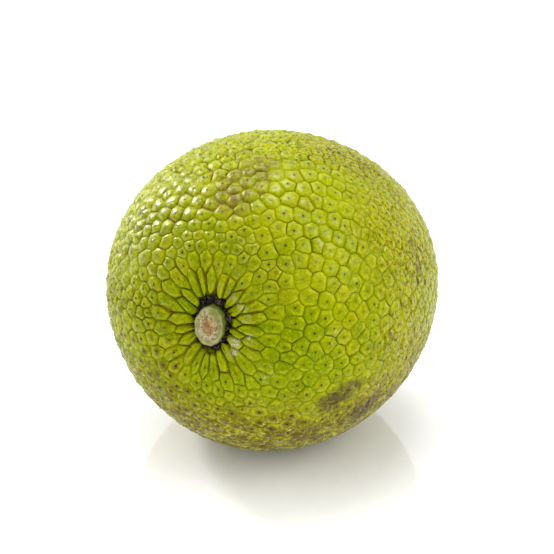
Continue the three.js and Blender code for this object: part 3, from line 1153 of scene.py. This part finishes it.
def finishFibres(piece):
    f = Finish("dryFibre", piece)
    c = fibreColours
    coarse = f.noise(700, 3, 0.6)
    tone = f.attribute("crumbTone")
    f.base = f.mix(f.ramp(coarse, 0.42, 0.60), c["dark"], c["brown"])
    f.lay(c["grey"], f.ramp(tone, 0.52, 0.84))
    f.lay(c["pale"], f.ramp(tone, 0.90, 0.96), 0.8)
    f.complete(f.ramp(coarse, 0.4, 0.6, 0.55, 0.85), f.bump(coarse, 0.0002, 0.8))


finishFibres(fibresPiece)


latexColours = {
    "yellow": srgb(190, 184, 112),
    "cream": srgb(236, 230, 180),
}


def finishLatex(piece):
    f = Finish("driedLatex", piece)
    chalk = f.noise(1600, 3, 0.6)
    f.base = f.mix(f.ramp(chalk, 0.36, 0.60), latexColours["yellow"], latexColours["cream"])
    f.complete(f.ramp(chalk, 0.3, 0.7, 0.35, 0.60), f.bump(chalk, 0.0001, 0.8))


finishLatex(latexPiece)
print("finishes done")


camera = {
    "azimuth": 20.6,
    "elevation": 27.4,
    "distance": 0.730,
    "lens": 100.0,
    "sensor": 36,
    "besideCentre": 0.0014,  # the view's middle is this far right of the fruit's
    "aboveCentre": 0.0012,
}


def placeCamera():
    toCamera = wayFromFruit(camera["azimuth"], camera["elevation"])
    right = wayFromFruit(camera["azimuth"] + 90, 0)
    aim = fruitCentre + right * camera["besideCentre"] + toCamera.cross(right) * camera["aboveCentre"]
    data = bpy.data.cameras.new("camera")
    data.lens = camera["lens"]
    data.sensor_width = camera["sensor"]
    data.clip_start = 0.01
    seen = bpy.data.objects.new("camera", data)
    seen.location = aim + toCamera * camera["distance"]
    seen.rotation_euler = (-toCamera).to_track_quat("-Z", "Y").to_euler()
    scene.collection.objects.link(seen)
    scene.camera = seen


placeCamera()

studio = {
    "floorRadius": 4,
    "floorColour": (0.92, 0.92, 0.92, 1),
    "floorRoughness": 0.06,
    "floorIor": 2.2,
    # a glow painted onto the floor, added to what the camera sees of it: under the fruit and far from it,
    # so that the shadow fades out close by
    "paintedFloorGlow": (0.0, 0.64),
    "liftReach": (0.000, 0.115),
    "liftCentre": (0.010, 0.012),  # to the right of the fruit's middle, and towards the camera
    "liftSideways": 0.56,  # below 1 it reaches further sideways
    "glossyLift": 0.4,  # the share of it that glossy surfaces see
    "sky": (0.53, 0.41),  # light from the room: from the camera's side, and from behind the fruit
    "skyEdge": (-0.3, 0.7),  # how squarely behind the fruit the first begins to change, and is the second
    "room": 0.15,  # what glossy surfaces see of the room, above a white horizon
    "horizon": (0.05, 0.25),  # heights at which the horizon begins to dim, and is as dim as the room
    "backdropEdge": (0.25, 0.65),  # how squarely behind the fruit the backdrop begins and is full
    "backdropTop": (0.55, 0.80),  # heights at which it begins to fade, and has gone
    # azimuth from the camera, elevation, distance, width, height, brightness on a facing white card
    "lamps": {
        "leftBox": (-125, 35, 1.2, 0.21, 0.21, 0.50),
        "glintBox": (-137, 19, 1.2, 0.12, 0.12, 0.16),
        "topBox": (165, 76, 1.2, 0.60, 0.60, 0.34),
        "rightBox": (70, 35, 1.5, 0.80, 0.90, 0.34),
    },
}
cameraSide = wayFromFruit(camera["azimuth"], 0)
rightSide = wayFromFruit(camera["azimuth"] + 90, 0)


def makeFloor():
    bm = bmesh.new()
    bmesh.ops.create_circle(bm, cap_ends=True, segments=64, radius=studio["floorRadius"])
    floor = makeObject("floor", bm)
    f = Finish("paleFloor", floor)
    f.shader.inputs["Base Color"].default_value = studio["floorColour"]
    f.shader.inputs["Roughness"].default_value = studio["floorRoughness"]
    f.shader.inputs["IOR"].default_value = studio["floorIor"]
    path = f.nodes.new("ShaderNodeLightPath")
    seen = f.calc("MAXIMUM", path.outputs["Is Glossy Ray"], path.outputs["Is Transmission Ray"])
    seen = f.calc("MAXIMUM", path.outputs["Is Camera Ray"], f.times(seen, studio["glossyLift"]))
    right, near = studio["liftCentre"]
    middle = rightSide * right + cameraSide * near
    sideways = f.fromPlace("DOT_PRODUCT", middle, rightSide)["Value"]
    nearer = f.fromPlace("DOT_PRODUCT", middle, cameraSide)["Value"]
    square = f.calc("ADD", f.times(sideways, sideways, studio["liftSideways"]), f.times(nearer, nearer))
    away = f.calc("SQRT", square)
    # painted glow on the floor, which lightens it away from the fruit
    lift = f.nodes.new("ShaderNodeEmission")
    strength = f.ramp(away, *studio["liftReach"], *studio["paintedFloorGlow"])
    f.links.new(f.times(seen, strength), lift.inputs["Strength"])
    plain = f.nodes.new("ShaderNodeBsdfDiffuse")
    plain.inputs["Color"].default_value = studio["floorColour"]
    surface = f.nodes.new("ShaderNodeMixShader")
    f.links.new(path.outputs["Is Camera Ray"], surface.inputs[0])
    f.links.new(plain.outputs[0], surface.inputs[1])
    f.links.new(f.shader.outputs[0], surface.inputs[2])
    both = f.nodes.new("ShaderNodeAddShader")
    f.links.new(surface.outputs[0], both.inputs[0])
    f.links.new(lift.outputs[0], both.inputs[1])
    f.links.new(both.outputs[0], f.nodes["Material Output"].inputs["Surface"])


makeFloor()


def makeLamps():
    for name, (azimuth, elevation, distance, width, height, level) in studio["lamps"].items():
        way = wayFromFruit(camera["azimuth"] + azimuth, elevation)
        data = bpy.data.lights.new(name, "AREA")
        data.shape = "RECTANGLE"
        data.size, data.size_y = width, height
        data.energy = level * (math.pi * distance) ** 2
        lamp = bpy.data.objects.new(name, data)
        lamp.location = fruitCentre + way * distance
        lamp.rotation_euler = (-way).to_track_quat("-Z", "Y").to_euler()
        scene.collection.objects.link(lamp)


makeLamps()


# the camera sees plain white; glossy surfaces see a white backdrop behind the fruit, and a dim room
def makeSky():
    world = bpy.data.worlds.new("studio")
    scene.world = world
    world.use_nodes = True
    nodes, links = world.node_tree.nodes, world.node_tree.links
    path = nodes.new("ShaderNodeLightPath")
    way = nodes.new("ShaderNodeTexCoord").outputs["Generated"]
    split = nodes.new("ShaderNodeSeparateXYZ")
    links.new(way, split.inputs[0])
    behind = nodes.new("ShaderNodeVectorMath")
    behind.operation = "DOT_PRODUCT"
    links.new(way, behind.inputs[0])
    behind.inputs[1].default_value = -cameraSide

    def fade(value, reach, first, last):
        node = nodes.new("ShaderNodeMapRange")
        links.new(value, node.inputs["Value"])
        for name, number in zip(("From Min", "From Max", "To Min", "To Max"), (*reach, first, last)):
            node.inputs[name].default_value = number
        return node.outputs["Result"]

    def calc(operation, first, second):
        node = nodes.new("ShaderNodeMath")
        node.operation = operation
        links.new(first, node.inputs[0])
        links.new(second, node.inputs[1])
        return node.outputs[0]

    backdrop = calc("MULTIPLY", fade(behind.outputs["Value"], studio["backdropEdge"], 0.0, 1.0),
                    fade(split.outputs["Z"], studio["backdropTop"], 1.0, 0.0))
    room = calc("MAXIMUM", backdrop, fade(split.outputs["Z"], studio["horizon"], 1.0, studio["room"]))
    glossy = calc("MAXIMUM", path.outputs["Is Glossy Ray"], path.outputs["Is Transmission Ray"])
    unseen = nodes.new("ShaderNodeMix")
    links.new(glossy, unseen.inputs["Factor"])
    links.new(fade(behind.outputs["Value"], studio["skyEdge"], *studio["sky"]), unseen.inputs[2])
    links.new(room, unseen.inputs[3])
    seen = nodes.new("ShaderNodeMix")
    links.new(path.outputs["Is Camera Ray"], seen.inputs["Factor"])
    links.new(unseen.outputs[0], seen.inputs[2])
    seen.inputs[3].default_value = 1.0
    links.new(seen.outputs[0], nodes["Background"].inputs["Strength"])
    nodes["Background"].inputs["Color"].default_value = (1, 1, 1, 1)


makeSky()
print("stage ready")
